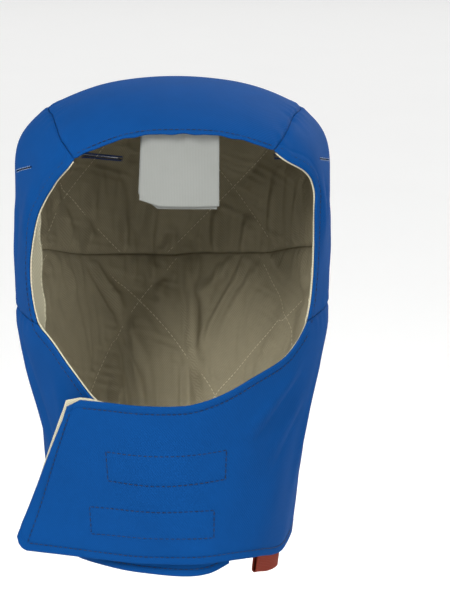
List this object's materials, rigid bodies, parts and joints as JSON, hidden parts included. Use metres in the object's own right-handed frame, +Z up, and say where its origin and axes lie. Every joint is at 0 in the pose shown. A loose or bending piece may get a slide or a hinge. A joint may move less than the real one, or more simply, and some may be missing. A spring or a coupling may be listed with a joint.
{
  "type": "hard hat liner",
  "caption": "Quilted winter hood worn under a safety helmet: woven shell, twill lining, open face, chin flap over an underlap, neck cape and buttonhole slots for cradle straps.",
  "frame": {"origin": "highest point of the lining inside the crown, where the top of the wearer's head meets it", "axes": "+Z up, the wearer faces -Y, and +X is the wearer's left, the side that the chin flap comes from"},
  "size_m": [0.1993, 0.2124, 0.3055],
  "materials": {
    "shell_cloth": "royal blue woven aramid, matt",
    "quilted_lining": "olive cotton twill quilted to batting with cream thread",
    "cream_twill": "cream cotton twill tape",
    "hook_tape": "navy woven hook tape",
    "label_taffeta": "off-white label taffeta, blank",
    "red_ribbon": "red woven ribbon, blank"
  },
  "bodies": {
    "root": {"crown_top": "shell_cloth", "crown_band": "shell_cloth", "cape": "shell_cloth", "lining_top": "quilted_lining", "lining_crown": "quilted_lining", "lining_neck": "quilted_lining", "edge_facing_left": "cream_twill", "edge_facing_right": "cream_twill", "flap_backing": "cream_twill", "hook_tape_upper": "hook_tape", "hook_tape_lower": "hook_tape", "care_label_front": "label_taffeta", "care_label_back": "label_taffeta", "hem_tab": "red_ribbon"}
  },
  "joints": []
}
